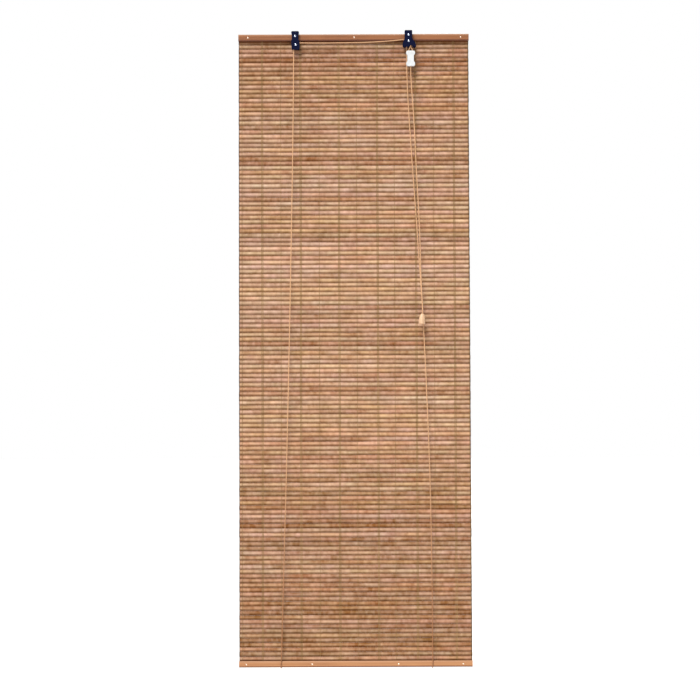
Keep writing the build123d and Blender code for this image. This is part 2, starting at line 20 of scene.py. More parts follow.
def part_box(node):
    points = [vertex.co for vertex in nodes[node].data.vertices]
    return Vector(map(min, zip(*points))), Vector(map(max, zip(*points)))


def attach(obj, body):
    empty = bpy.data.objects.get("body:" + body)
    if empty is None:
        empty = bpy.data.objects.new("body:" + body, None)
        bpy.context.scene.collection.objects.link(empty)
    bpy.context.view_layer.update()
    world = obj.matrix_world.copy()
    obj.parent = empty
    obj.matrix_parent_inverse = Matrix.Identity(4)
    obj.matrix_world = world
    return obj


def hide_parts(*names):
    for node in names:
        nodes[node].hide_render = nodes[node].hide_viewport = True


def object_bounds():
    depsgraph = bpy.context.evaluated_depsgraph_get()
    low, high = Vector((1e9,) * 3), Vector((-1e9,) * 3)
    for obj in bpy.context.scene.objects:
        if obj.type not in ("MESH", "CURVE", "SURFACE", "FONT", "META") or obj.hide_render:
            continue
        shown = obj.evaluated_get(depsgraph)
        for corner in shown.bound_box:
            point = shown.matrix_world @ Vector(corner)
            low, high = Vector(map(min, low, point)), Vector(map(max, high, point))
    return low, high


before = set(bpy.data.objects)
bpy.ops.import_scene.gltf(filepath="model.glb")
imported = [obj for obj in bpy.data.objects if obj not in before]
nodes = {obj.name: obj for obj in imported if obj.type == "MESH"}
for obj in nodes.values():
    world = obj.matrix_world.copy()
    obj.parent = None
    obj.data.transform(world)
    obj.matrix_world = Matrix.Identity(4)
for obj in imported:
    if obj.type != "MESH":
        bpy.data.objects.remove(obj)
cad_low, cad_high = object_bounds()
blind_width = cad_high.x - cad_low.x
print("box of the packed model, mm:", [round(1000 * v) for v in cad_high - cad_low])

# %% [markdown]
# ## Camera
#
# A blind is looked at from straight in front. The camera stands three and a
# half metres away, a little below the middle of the mat, and looks up by
# nearly two degrees. A long lens keeps the thirteen warps parallel. Turning a
# camera by plain angles mixes its three axes, so here it is turned one axis at
# a time: first upright, then rolled about its own line of sight.

# %% Camera
camera_place = Vector((-0.0121, -3.5, -0.9326))
camera_pitch_deg = 1.8
camera_roll_deg = -0.215
camera_lens_mm = 69.29

camera_data = bpy.data.cameras.new("studio_camera")
camera_data.lens = camera_lens_mm
camera = bpy.data.objects.new("studio_camera", camera_data)
upright = Matrix.Rotation(math.radians(90 + camera_pitch_deg), 4, "X")
rolled = Matrix.Rotation(math.radians(camera_roll_deg), 4, "Z")
camera.matrix_world = Matrix.Translation(camera_place) @ upright @ rolled
bpy.context.scene.collection.objects.link(camera)
bpy.context.scene.camera = camera
print("camera at", [round(v, 3) for v in camera_place])

# %% [markdown]
# ## A short way to write materials
#
# Shader maths is easier to read as a formula than as a web of nodes. `Socket`
# wraps one output of a node, and each operator on it adds the Math node that
# does the sum. `Finish` is one material: its `node` method adds any other
# node, with its settings first and the values or links of its sockets after.

# %% Sockets that do arithmetic


class Socket:
    """An output of a shader node. Adding, multiplying and so on adds a Math node."""

    def __init__(self, finish, output):
        self.finish = finish
        self.output = output

    def maths(self, operation, *values):
        return self.finish.node("Math", {"operation": operation}, dict(enumerate(values)))

    def __add__(self, other):
        return self.maths("ADD", self, other)

    def __mul__(self, other):
        return self.maths("MULTIPLY", self, other)

    def __sub__(self, other):
        return self.maths("SUBTRACT", self, other)

    def __rsub__(self, other):
        return self.maths("SUBTRACT", other, self)

    __radd__ = __add__

    def sine(self):
        return self.maths("SINE", self)

    def size(self):
        """The value without its sign."""
        return self.maths("ABSOLUTE", self)

    def between(self, low, high):
        """0 below low, 1 above high, and a smooth step between them."""
        settings = {"interpolation_type": "SMOOTHSTEP"}
        return self.finish.node("MapRange", settings, {"Value": self, "From Min": low, "From Max": high})


class Finish:
    """A material in the making: a Principled shader, and the nodes that feed it."""

    def __init__(self, name, **constants):
        self.material = bpy.data.materials.new(name)
        self.material.use_nodes = True
        self.tree = self.material.node_tree
        self.tree.nodes.clear()
        self.shader = self.tree.nodes.new("ShaderNodeBsdfPrincipled")
        surface = self.tree.nodes.new("ShaderNodeOutputMaterial")
        self.tree.links.new(self.shader.outputs[0], surface.inputs["Surface"])
        for socket, value in constants.items():
            self.set(socket.replace("_", " "), value)

    def feed(self, socket, value):
        """Links a Socket, or writes a plain number, vector or colour."""
        if isinstance(value, Socket):
            self.tree.links.new(value.output, socket)
        else:
            socket.default_value = value

    def set(self, name, value):
        self.feed(self.shader.inputs[name], value)

    def node(self, kind, settings=None, values=None, output=0):
        """Adds a shader node of any kind and gives back one of its outputs."""
        made = self.tree.nodes.new("ShaderNode" + kind)
        for name, value in (settings or {}).items():
            setattr(made, name, value)
        for name, value in (values or {}).items():
            self.feed(made.inputs[name], value)
        return Socket(self, made.outputs[output])

    def place(self):
        """The point's place on the object, in metres."""
        return self.node("TexCoord", output="Object")

    def attribute(self, name):
        """A number stored on the mesh."""
        return self.node("Attribute", {"attribute_name": name}, output="Fac")

    def stretched(self, vector, scale, shift=(0.0, 0.0, 0.0)):
        """The vector scaled along each axis, then shifted."""
        settings = {"operation": "MULTIPLY_ADD"}
        return self.node("VectorMath", settings, {0: vector, 1: scale, 2: shift})

    def noise(self, vector, detail=2.0, roughness=0.5):
        """Smooth noise around one half. The vector that it is read at sets its scale."""
        values = {"Vector": vector, "Scale": 1.0, "Detail": detail, "Roughness": roughness}
        return self.node("TexNoise", {"noise_dimensions": "3D"}, values)

    def mix(self, factor, first, second, blend="MIX"):
        """A blend of two colours."""
        settings = {"data_type": "RGBA", "blend_type": blend}
        return self.node("Mix", settings, {0: factor, 6: first, 7: second}, output=2)

    def part(self, vector, axis):
        """One of a vector's three numbers: "X", "Y" or "Z"."""
        return self.node("SeparateXYZ", None, {0: vector}, output=axis)

    def tinted(self, colour, amount):
        """The colour made lighter or darker by a number."""
        grey = self.node("CombineColor", None, {0: amount, 1: amount, 2: amount})
        return self.mix(1.0, colour, grey, "MULTIPLY")

    def bump(self, height, distance, strength):
        """Relief of the surface that is too fine to model."""
        values = {"Height": height, "Distance": distance, "Strength": strength}
        self.set("Normal", self.node("Bump", None, values))


def colour(red, green, blue):
    """A linear colour with full opacity."""
    return (red, green, blue, 1.0)


print("Socket and Finish are ready")

# %% [markdown]
# ## Surfaces from arrays of points
#
# Most pieces here are rings of points joined to their neighbours: a slat is a
# bowed section carried along the blind, a yarn is a flat oval carried along
# its wavy path. The rings are worked out for all slats or yarns at once, as
# one array. `skin` joins them with quads and closes both ends.

# %% Skin over rings of points


def skin(rings):
    """Quads over a stack of closed tubes, given as an array (tubes, rings, sides, 3).

    Point k of ring r of tube t has the number (t * rings + r) * sides + k. A quad joins points k and
    k + 1 of one ring to the same two of the next, and one polygon closes each end of a tube.
    """
    tubes, count, sides, _ = rings.shape
    tube = np.arange(tubes)[:, None, None] * count * sides
    ring = np.arange(count - 1)[None, :, None] * sides
    side = np.arange(sides)[None, None, :]
    following = (side + 1) % sides
    corner = tube + ring
    quads = np.stack(
        [corner + side, corner + following, corner + sides + following, corner + sides + side], -1
    ).reshape(-1, 4)
    first_caps = tube[:, 0] + np.arange(sides)[::-1]
    last_caps = tube[:, 0] + (count - 1) * sides + np.arange(sides)
    return rings.reshape(-1, 3), quads, np.concatenate([first_caps, last_caps])


def faces_outward(points, quads, caps):
    """Turns every face round if the volume that they enclose comes out negative."""
    a, b, c, d = (points[quads[:, i]] for i in range(4))
    volume = np.einsum("ij,ij->i", a, np.cross(b, c) + np.cross(c, d)).sum()
    return (quads, caps) if volume > 0 else (quads[:, ::-1], caps[:, ::-1])


def new_piece(name, rings, finish, attributes=None, crease_deg=50.0):
    """A mesh object over the rings, with numbers on its points, riding on the blind's own body."""
    points, quads, caps = skin(rings)
    quads, caps = faces_outward(points, quads, caps)
    mesh = bpy.data.meshes.new(name)
    mesh.from_pydata(points.tolist(), [], quads.tolist() + caps.tolist())
    for key, values in (attributes or {}).items():
        layer = mesh.attributes.new(key, "FLOAT", "POINT")
        layer.data.foreach_set("value", np.ascontiguousarray(values, np.float32).ravel())
    mesh.shade_smooth()
    mesh.set_sharp_from_angle(angle=math.radians(crease_deg))
    mesh.materials.append(finish)
    piece = bpy.data.objects.new(name, mesh)
    bpy.context.scene.collection.objects.link(piece)
    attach(piece, "blind")
    return piece


print("skin and new_piece are ready")

# %% [markdown]
# ## Finish of the cords
#
# A blind cord is a fine round braid. Strands that lean left and right cross in
# diamonds, so the height of the braid is the product of two sets of slanted
# stripes. Both are measured on the cord itself, by the angle round it and the
# length along it. The angle is stored as a sine and a cosine, so that it has
# no jump where the ring closes.

# %% Braided cord
strand_spacing = 0.00105
strands_round = 8
# The cord is darker low down, blending between these two depths.
darken_starts, darken_full = 0.9, 1.66  # depth below the headrail's top face


def braid_finish(name, pale, lower_colour):
    """Yarn colour with painted shade in the gaps where two slanted strands meet, and darker low down."""
    finish = Finish(name, Roughness=0.8, Specular_IOR_Level=0.15)
    place = finish.place()
    height = finish.part(place, "Z")
    sine, cosine = finish.attribute("braid_sin"), finish.attribute("braid_cos")
    turn = sine.maths("ARCTAN2", sine, cosine)
    along = finish.attribute("braid_length") * (math.pi / strand_spacing)
    left_lay = (along + turn * (strands_round / 2)).sine().size()
    right_lay = (along - turn * (strands_round / 2)).sine().size()
    crest = left_lay * right_lay
    worn = finish.noise(finish.stretched(place, (40.0, 40.0, 9.0)), detail=3.0)
    # Darker towards the bottom of the cord.
    low = (0.0 - height).between(darken_starts, darken_full)
    yarn = finish.mix(low, pale, lower_colour)
    # The crest term paints shade into the gaps between strands.
    finish.set("Base Color", finish.tinted(yarn, 0.70 + crest * 0.30 + worn * 0.25))
    finish.bump(crest, 0.0003, 0.6)
    return finish.material


cord_yarn = braid_finish("cord_yarn", colour(0.62, 0.36, 0.20), colour(0.31, 0.140, 0.066))
print("strand spacing, mm:", 1000 * strand_spacing)

# %% [markdown]
# ## Cords
#
# A cord is a line with a thickness. A NURBS spline of order 3 rounds each turn
# of its route, just as a limp cord does over a wheel, and the route's points
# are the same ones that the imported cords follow. The two lift cords are pulled
# tight by the connector's weight, so their long stretches have few points.
# Blender samples the spline, and a ring of points is set square to the line at
# every sample. The ring needs two directions across the line. The cross product
# of the line's own direction with a fixed slanted one gives the first, and it
# turns smoothly because no cord ever runs along that slanted direction.

# %% Routes of the three cords
cord_diameter = 0.0024

lift_cord_left_route = [
    (-0.1640, 0.0000, -0.0076),
    (-0.1641, 0.0000, -0.0400),
    (-0.1917, 0.0000, -1.6371),
    (-0.1918, -0.0011, -1.6389),
    (-0.1918, -0.0029, -1.6400),
    (-0.1919, -0.0175, -1.6400),
    (-0.1919, -0.0193, -1.6389),
    (-0.1918, -0.0204, -1.6371),
    (-0.1875, -0.0208, -1.5000),
    (-0.1833, -0.0210, -1.3600),
    (-0.1777, -0.0213, -1.1600),
    (-0.1735, -0.0215, -1.0000),
    (-0.1692, -0.0218, -0.8200),
    (-0.1650, -0.0220, -0.6300),
    (-0.1608, -0.0223, -0.4200),
    (-0.1578, -0.0225, -0.2400),
    (-0.1562, -0.0226, -0.1100),
    (-0.1558, -0.0227, -0.0420),
    (-0.1558, -0.0227, -0.0277),
    (-0.1543, -0.0227, -0.0251),
    (-0.1517, -0.0227, -0.0236),
    (-0.0950, -0.0236, -0.0245),
    (-0.0350, -0.0246, -0.0247),
    (0.0250, -0.0255, -0.0239),
    (0.0800, -0.0264, -0.0218),
    (0.1220, -0.0272, -0.0182),
    (0.1441, -0.0273, -0.0153),
    (0.14705, -0.0273, -0.0167),
    (0.1488, -0.0273, -0.0195),
    (0.1488, -0.0274, -0.0345),
    (0.1428, -0.0282, -0.0456),
    (0.1428, -0.0282, -0.0496),
]
lift_cord_right_route = [
    (0.1550, 0.0000, -0.0076),
    (0.1552, 0.0000, -0.0400),
    (0.1973, 0.0000, -1.6371),
    (0.1974, -0.0011, -1.6389),
    (0.1974, -0.0029, -1.6400),
    (0.1975, -0.0175, -1.6400),
    (0.1975, -0.0193, -1.6389),
    (0.1974, -0.0204, -1.6371),
    (0.1971, -0.0207, -1.5100),
    (0.1961, -0.0210, -1.3600),
    (0.1939, -0.0212, -1.2000),
    (0.1907, -0.0213, -1.0800),
    (0.1862, -0.0214, -0.9500),
    (0.1807, -0.0215, -0.8150),
    (0.1750, -0.0216, -0.7030),
    (0.1680, -0.0217, -0.5900),
    (0.1602, -0.0218, -0.4750),
    (0.1518, -0.0219, -0.3500),
    (0.1453, -0.0220, -0.2500),
    (0.1398, -0.0221, -0.1550),
    (0.1378, -0.0222, -0.0800),
    (0.1376, -0.0226, -0.0340),
    (0.1376, -0.0227, -0.0196),
    (0.1391, -0.0227, -0.0170),
    (0.1417, -0.0227, -0.0155),
    (0.1447, -0.0227, -0.0155),
    (0.1473, -0.0227, -0.0170),
    (0.1488, -0.0227, -0.0196),
    (0.1489, -0.0234, -0.0345),
    (0.1534, -0.0282, -0.0456),
    (0.1534, -0.0282, -0.0496),
]
pull_cord_route = [
    (0.1481, -0.0282, -0.0846),
    (0.1481, -0.0282, -0.1080),
    (0.1505, -0.0285, -0.1500),
    (0.1534, -0.0288, -0.1900),
    (0.1560, -0.0291, -0.2320),
    (0.1582, -0.0294, -0.2780),
    (0.1601, -0.0298, -0.3320),
    (0.1628, -0.0301, -0.3880),
    (0.1659, -0.0304, -0.4440),
    (0.1683, -0.0308, -0.5000),
    (0.1701, -0.0311, -0.5560),
    (0.1713, -0.0314, -0.6120),
    (0.1727, -0.0316, -0.6640),
    (0.1747, -0.0317, -0.7000),
    (0.1760, -0.0318, -0.7190),
    (0.1743, -0.0318, -0.7429),
]
print("route points:", len(lift_cord_left_route), len(lift_cord_right_route), len(pull_cord_route))

# %% [markdown]
# A tube is laid on each line: a ring of points at every sample, square to the
# line there. The rings carry the numbers that the braid is measured by.

# %% Cord lines and tubes
cord_sides = 12
samples_per_span = 10


def spline_line(route):
    """The points of a NURBS spline of order 3 that has the route as its control points."""
    curve = bpy.data.curves.new("route", "CURVE")
    curve.dimensions = "3D"
    spline = curve.splines.new("NURBS")
    spline.points.add(len(route) - 1)
    for point, place in zip(spline.points, route):
        point.co = (*place, 1.0)
    spline.order_u = 3
    spline.use_endpoint_u = True
    spline.resolution_u = samples_per_span
    carrier = bpy.data.objects.new("route", curve)
    sampled = bpy.data.meshes.new_from_object(carrier)
    line = np.empty(3 * len(sampled.vertices))
    sampled.vertices.foreach_get("co", line)
    bpy.data.objects.remove(carrier)
    bpy.data.meshes.remove(sampled)
    bpy.data.curves.remove(curve)
    return line.reshape(-1, 3)


def unit(vectors):
    """The same directions, each with length 1."""
    return vectors / np.linalg.norm(vectors, axis=-1, keepdims=True)


def tube_on_line(line):
    """Rings of a round tube: point k lies a radius away, at the angle a of k, along cos a times the
    first direction across the line plus sin a times the second."""
    direction = unit(np.gradient(line, axis=0))
    first = unit(np.cross(direction, (1.0, 1.0, 1.0)))
    second = np.cross(direction, first)
    a = np.arange(cord_sides)[:, None] / cord_sides * 2 * np.pi
    ring = np.cos(a) * first[:, None] + np.sin(a) * second[:, None]
    return (line[:, None] + cord_diameter / 2 * ring)[None]


def braid_numbers(shape, angle, length):
    """Where each point lies in the braid: the sine and cosine of its angle, and its length along."""
    return {
        "braid_cos": np.broadcast_to(np.cos(angle), shape),
        "braid_sin": np.broadcast_to(np.sin(angle), shape),
        "braid_length": np.broadcast_to(length, shape),
    }


def cord_piece(name, line):
    """A braided tube on the line, with its length measured along the line from the first point."""
    rings = tube_on_line(line)
    steps = np.linalg.norm(np.diff(line, axis=0), axis=1)
    length = np.concatenate([[0.0], np.cumsum(steps)])[:, None]
    angle = np.arange(cord_sides) / cord_sides * 2 * np.pi
    numbers = braid_numbers(rings.shape[:3], angle, length)
    print(name, "rings:", len(line), "length, mm:", round(1000 * float(length[-1, 0]), 1))
    return new_piece(name, rings, cord_yarn, numbers)


left_line = spline_line(lift_cord_left_route)
right_line = spline_line(lift_cord_right_route)
pull_line = spline_line(pull_cord_route)
left_cord = cord_piece("lift_cord_left_braid", left_line)
right_cord = cord_piece("lift_cord_right_braid", right_line)
pull_cord = cord_piece("pull_cord_braid", pull_line)
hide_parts("lift_cord_left")
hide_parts("lift_cord_right")
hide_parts("pull_cord")

# %% [markdown]
# ## Bamboo slats
#
# Each slat is split from a cane, so its outer face is bowed and its inner face
# is flat. The bow is what gives the mat its look: the upper half of each slat
# catches the light from above and the lower half turns away from it. No two
# slats are cut alike, so the seams between them wander a little, and every
# slat is slightly rolled. Tone and hue belong to a slat as a whole, which is
# why they are stored as numbers on its points and not painted as a pattern.

# %% Seams between slats
slat_count = 139
slats_per_node = 10
slat_nodes = sorted(name for name in nodes if name.startswith("slats_"))
mat_low, mat_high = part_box(slat_nodes[0])
mat_top = mat_high.z
mat_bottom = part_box(slat_nodes[-1])[0].z
mat_y = (mat_low.y + mat_high.y) / 2
slat_depth = mat_high.y - mat_low.y
slat_height = 0.0114
slat_pitch = (mat_top - mat_bottom - slat_height) / (slat_count - 1)
seam_gap = 0.00004
seam_wander = 0.00020
widest_wander = 0.0009
rng = np.random.default_rng(20)


def wander(x, amount, count, waves=(0.93, 0.41, 0.17)):
    """Smooth uneven lines: each is a sum of three sine waves along x, of chance size and phase."""
    phase = rng.uniform(0, 2 * np.pi, (count, len(waves), 1))
    weight = rng.normal(0, amount, (count, len(waves), 1))
    return (weight * np.sin(2 * np.pi * x / np.array(waves)[:, None] + phase)).sum(1)


slat_rings = 41
along = np.linspace(-0.5, 0.5, slat_rings) * blind_width
seam_z = mat_top + (slat_pitch - slat_height) / 2 - np.arange(slat_count + 1) * slat_pitch
seams = seam_z[:, None] + wander(along, seam_wander, slat_count + 1)
seams = np.clip(seams, seam_z[:, None] - widest_wander, seam_z[:, None] + widest_wander)
found_wander = float(np.abs(seams - seam_z[:, None]).max())
print("pitch, mm:", round(1000 * slat_pitch, 3), "widest wander, mm:", round(1000 * found_wander, 2))

# %% [markdown]
# The section of a slat is a row of points across its bowed front and a few
# across its flat back. Each point has a rise, from 1 at the slat's upper edge
# to -1 at its lower edge, and a depth. Points lie closer together near the
# edges, where the bow turns fastest.

# %% Slat surfaces
bow_points = 11
belly_depth = 0.0024
bow_power = 1.6
back_inset = 0.0001
slat_roll = 0.00007
longest_trim = 0.002  # share of the length that a saw cut may take off
rise_front = np.sin(np.linspace(-0.5, 0.5, bow_points) * np.pi)
bow_front = -slat_depth / 2 + belly_depth * np.abs(rise_front) ** bow_power
rise_back = np.array([0.96, 0.5, 0.0, -0.5, -0.96])
bow_back = np.full(len(rise_back), slat_depth / 2 - back_inset)
section_rise = np.concatenate([rise_front, rise_back])
section_bow = np.concatenate([bow_front, bow_back])


def slat_surfaces(first, last):
    """Rings of the slats from first up to, not including, last.

    A point's height is the middle of the slat's two seams plus its rise times half their distance. Its
    depth is the section's bow plus the slat's roll times its rise.
    """
    upper, lower = seams[first:last], seams[first + 1 : last + 1]
    count = last - first
    half = (upper - lower - seam_gap) / 2
    middle = (upper + lower) / 2
    roll = wander(along, slat_roll, count)
    trim = 1 - rng.uniform(0, longest_trim, (count, 1))
    shape = (count, slat_rings, len(section_rise))
    x = np.broadcast_to((along * trim)[:, :, None], shape)
    z = middle[:, :, None] + half[:, :, None] * section_rise
    y = mat_y + section_bow + roll[:, :, None] * section_rise
    rise = np.broadcast_to(section_rise, shape)
    return np.stack([x, y, z], -1), rise


# The third number darkens the top few slats: a painted shadow under the headrail.
end_tone, tone_swell, headrail_shadow_dip, foot_light = 0.71, 0.36, 0.06, 0.30
shaded_slats = 2.5
last_seen_slat = slat_count - 2  # the one after it is held between the bottom battens


def zone_tone(index):
    """Slow change of tone down the mat, about 1: lightest above the middle, deeper at both ends.

    Tone is end_tone plus tone_swell times a sine over the mat's length, less a painted shadow under the
    headrail that fades over a few slats. The slat that meets the bottom rail is lighter by foot_light.
    """
    swell = np.sin(np.pi * (0.9 * index / slat_count + 0.12))
    foot = foot_light * (index == last_seen_slat)
    return end_tone + tone_swell * swell - headrail_shadow_dip * np.exp(-index / shaded_slats) + foot


print("points a slat:", slat_rings * len(section_rise))

# %% [markdown]
# ## Finish of the bamboo
#
# Carbonised bamboo is a warm tan, and where it is darker it is also more
# saturated, as stained wood is. So one number, the tone, blends a deep tan and
# a pale one. Each slat has its own tone, and noise moves it along the slat in
# stretches a few centimetres long. Two faint casts go over it: cool to warm,
# and pink to olive. Fine fibres run along the slat. Painted shade darkens each
# slat's lower half and its upper edge by the seams, each slat is darker near its
# cut ends, and a painted shadow makes a dark line under the headrail.
# The noise is stretched along the slat, and each slat's own number shifts it
# so that neighbours differ.

# %% Bamboo
bamboo = Finish("bamboo", Specular_IOR_Level=0.12)
place = bamboo.place()
tone = bamboo.attribute("slat_tone")
hue = bamboo.attribute("slat_hue")
chance = bamboo.attribute("slat_chance")
rise = bamboo.attribute("slat_rise")
shift = bamboo.node("CombineXYZ", None, {0: chance * 37.0, 1: chance * 11.0, 2: chance * 5.0})
other_shift = bamboo.node("CombineXYZ", None, {0: chance * 23.0, 1: chance * 41.0, 2: chance * 7.0})
stretches = bamboo.noise(bamboo.stretched(place, (6.0, 0.0, 3.0), shift), detail=2.5)
patches = bamboo.noise(bamboo.stretched(place, (17.0, 0.0, 20.0), shift), detail=2.0)
casts = bamboo.noise(bamboo.stretched(place, (13.0, 0.0, 12.0), other_shift), detail=2.0)
uneven_noise = bamboo.noise(bamboo.stretched(place, (24.0, 0.0, 9.0), other_shift), detail=3.0)
flecks = bamboo.noise(bamboo.stretched(place, (95.0, 0.0, 60.0), shift), detail=2.0)
fibres = bamboo.noise(bamboo.stretched(place, (22.0, 500.0, 1400.0), shift), detail=4.0, roughness=0.65)
streaks = bamboo.noise(bamboo.stretched(place, (9.0, 120.0, 420.0), shift), detail=3.0)

deep_tan = colour(0.212, 0.083, 0.021)
pale_tan = colour(0.645, 0.425, 0.288)
cool_cast = colour(0.95, 1.01, 1.12)
warm_cast = colour(1.05, 0.99, 0.88)
pink_cast = colour(1.03, 0.955, 1.03)
olive_cast = colour(0.97, 1.045, 0.96)
# The next colour is painted shade, for the seams and the lower half of each slat.
seam_shade_colour = colour(0.37, 0.265, 0.17)
plain = colour(1.0, 1.0, 1.0)
# The next colour is a painted shadow, for the dark line under the headrail.
rail_shadow_colour = colour(0.13, 0.035, 0.008)
shadow_starts, shadow_full = 0.0042, 0.0022  # below the headrail's front batten
end_starts, end_full, end_share = 0.0034, 0.0008, 0.78  # in from a cut end

local_tone = tone + (stretches - 0.5) * 0.25 + (patches - 0.5) * 0.78
local_tone = local_tone + (streaks - 0.5) * 0.45 + (flecks - 0.5) * 0.85
body_colour = bamboo.mix(local_tone, deep_tan, pale_tan)
warmth = bamboo.mix(hue * 0.7 + casts * 2.0 - 0.85, cool_cast, warm_cast)
body_colour = bamboo.mix(1.0, body_colour, warmth, "MULTIPLY")
pinkness = bamboo.mix(chance * 0.6 + uneven_noise * 2.0 - 0.80, pink_cast, olive_cast)
body_colour = bamboo.mix(1.0, body_colour, pinkness, "MULTIPLY")
# Painted shade: the lower half of each slat and its upper edge by the seams are darkened where shade
# from light above falls.
seam_shade = (0.0 - rise).between(-0.30, 0.88) + rise.between(0.25, 1.0) * 0.75
seam_shade = seam_shade * (0.45 + uneven_noise * 0.80)
body_colour = bamboo.mix(1.0, body_colour, bamboo.mix(seam_shade, plain, seam_shade_colour), "MULTIPLY")
# Painted shadow: a dark band across the slats just under the headrail's front batten.
rail_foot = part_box("headrail_front_batten")[0].z
under_rail_shadow = bamboo.part(place, "Z").between(rail_foot - shadow_starts, rail_foot - shadow_full)
body_colour = bamboo.mix(under_rail_shadow * 0.85, body_colour, rail_shadow_colour)
# Each slat is darker within a few millimetres of its cut ends.
across = bamboo.part(place, "X").size()
cut_end = across.between(blind_width / 2 - end_starts, blind_width / 2 - end_full) * end_share
bamboo.set("Base Color", bamboo.tinted(body_colour, (0.84 + fibres * 0.32) * (1.0 - cut_end)))
bamboo.set("Roughness", 0.50 + fibres * 0.25)
bamboo.bump(fibres + streaks * 0.6, 0.00025, 0.5)
print("bamboo nodes:", len(bamboo.tree.nodes))

# %% [markdown]
# The slats are made ten to a piece. Each slat's tone is the mat's tone at that
# height plus a chance part of its own.

# %% Slats, ten to a piece
middle_tone, zone_share, chance_spread = 0.533, 0.926, 0.088
for number, node in enumerate(slat_nodes):
    first = number * slats_per_node
    last = min(first + slats_per_node, slat_count)
    surface, rise_values = slat_surfaces(first, last)
    shape = surface.shape[:3]
    chance_tone = rng.normal(0, chance_spread, last - first)
    zone = zone_tone(np.arange(first, last)) - 1
    slat_tone = middle_tone + zone_share * zone + chance_tone
    slat_hue = rng.uniform(0, 1, last - first)
    slat_chance = rng.uniform(0, 1, last - first)
    numbers = {
        "slat_tone": np.broadcast_to(slat_tone[:, None, None], shape),
        "slat_hue": np.broadcast_to(slat_hue[:, None, None], shape),
        "slat_chance": np.broadcast_to(slat_chance[:, None, None], shape),
        "slat_rise": rise_values,
    }
    piece = new_piece(f"bowed_{node}", surface, bamboo.material, numbers)
    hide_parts(node)
print("slat pieces:", len(slat_nodes))

# %% [markdown]
# ## Warps
#
# A warp is a pair of yarns that twist round each other between the slats, so
# that each slat lies in the eye of one half turn. The yarn in front follows
# the slat's bow, the other runs flat behind it, and at the seam they change
# places. The wide warps have two such pairs, laid in opposite senses. A
# flattened oval section shows how tightly the yarn lies on the bamboo.

# %% Yarn paths
yarn_half_depth = 0.00036
steps_per_slat = 7
yarn_sides = 6
seam_clearance = 0.0001
front_face = mat_y - slat_depth / 2
back_face = mat_y + slat_depth / 2


def yarn_tube(x_middle, slant, front_first, half_width):
    """One yarn of a twisted pair, as rings of an oval section down the whole mat.

    Within a slat the rise w goes from 1 at its upper seam to -1 at its lower seam. In front the depth
    follows the slat's bow, behind it is flat, and both fade to the seam's own depth as |w| nears 1. The
    yarn's place across is slant times w in front, and the reverse behind.
    """
    slat = np.repeat(np.arange(slat_count), steps_per_slat)
    w = 1 - 2 * np.tile(np.arange(steps_per_slat) / steps_per_slat, slat_count)
    column = np.searchsorted(along, x_middle)
    upper, lower = seams[slat, column], seams[slat + 1, column]
    z = (upper + lower) / 2 + w * (upper - lower) / 2
    in_front = (slat + int(front_first)) % 2 == 0
    over_bow = front_face - yarn_half_depth + belly_depth * np.abs(w) ** bow_power
    seam_depth = front_face + belly_depth + seam_clearance
    behind = back_face + yarn_half_depth + (seam_depth - back_face) * np.abs(w) ** 8
    y = np.where(in_front, np.minimum(over_bow, seam_depth), behind)
    x = x_middle + slant * np.where(in_front, w, -w)
    squeeze = 1 - 0.45 * np.abs(w) ** 6
    turn = np.arange(yarn_sides) / yarn_sides * 2 * np.pi
    rings = np.empty((1, len(z), yarn_sides, 3))
    rings[0, :, :, 0] = x[:, None] + half_width * squeeze[:, None] * np.cos(turn)
    rings[0, :, :, 1] = y[:, None] + yarn_half_depth * squeeze[:, None] * np.sin(turn)
    rings[0, :, :, 2] = z[:, None]
    return rings


def twisted_pair(x_middle, slant, half_width):
    """The two yarns of a pair: where one is in front of a slat, the other is behind it."""
    return [yarn_tube(x_middle, slant, first, half_width) for first in (True, False)]


print("rings a yarn:", slat_count * steps_per_slat)

# %% [markdown]
# The yarn is olive brown and has faded here and there. Its plies show as fine
# slanted stripes, and fuzz breaks them up.

# %% Finish of the yarn
ply_pitch = 0.0022
fresh_yarn, faded_yarn = colour(0.215, 0.128, 0.052), colour(0.295, 0.178, 0.080)
warp_yarn = Finish("warp_yarn", Roughness=0.9, Specular_IOR_Level=0.1)
place = warp_yarn.place()
height = warp_yarn.part(place, "Z")
sideways = warp_yarn.part(place, "X")
plies = ((height + sideways * 1.2) * (2 * math.pi / ply_pitch)).sine()
fuzz = warp_yarn.noise(warp_yarn.stretched(place, (900.0, 900.0, 300.0)), detail=4.0, roughness=0.7)
faded = warp_yarn.noise(warp_yarn.stretched(place, (9.0, 0.0, 5.0)), detail=2.0)
yarn_colour = warp_yarn.mix(faded.between(0.3, 0.7), fresh_yarn, faded_yarn)
warp_yarn.set("Base Color", warp_yarn.tinted(yarn_colour, 0.78 + plies * 0.12 + fuzz * 0.40))
warp_yarn.bump(plies * 0.5 + fuzz, 0.0002, 0.7)
print("yarn nodes:", len(warp_yarn.tree.nodes))

# %% [markdown]
# Six warps are wide and have two pairs side by side. The other seven are thin
# and have one.

# %% Warps
wide_limit = 0.0045
pair_offset, wide_slant, wide_half_width = 0.0017, 0.00045, 0.00080
thin_slant, thin_half_width = 0.0005, 0.00055
for node in sorted(name for name in nodes if name.startswith("warp_thread_")):
    low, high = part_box(node)
    x_middle, width = (low.x + high.x) / 2, high.x - low.x
    if width > wide_limit:
        tubes = twisted_pair(x_middle - pair_offset, wide_slant, wide_half_width)
        tubes += twisted_pair(x_middle + pair_offset, -wide_slant, wide_half_width)
    else:
        tubes = twisted_pair(x_middle, thin_slant, thin_half_width)
    piece = new_piece(f"twisted_{node}", np.concatenate(tubes), warp_yarn.material)
    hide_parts(node)
print("warps:", sum(name.startswith("warp_thread_") for name in nodes))

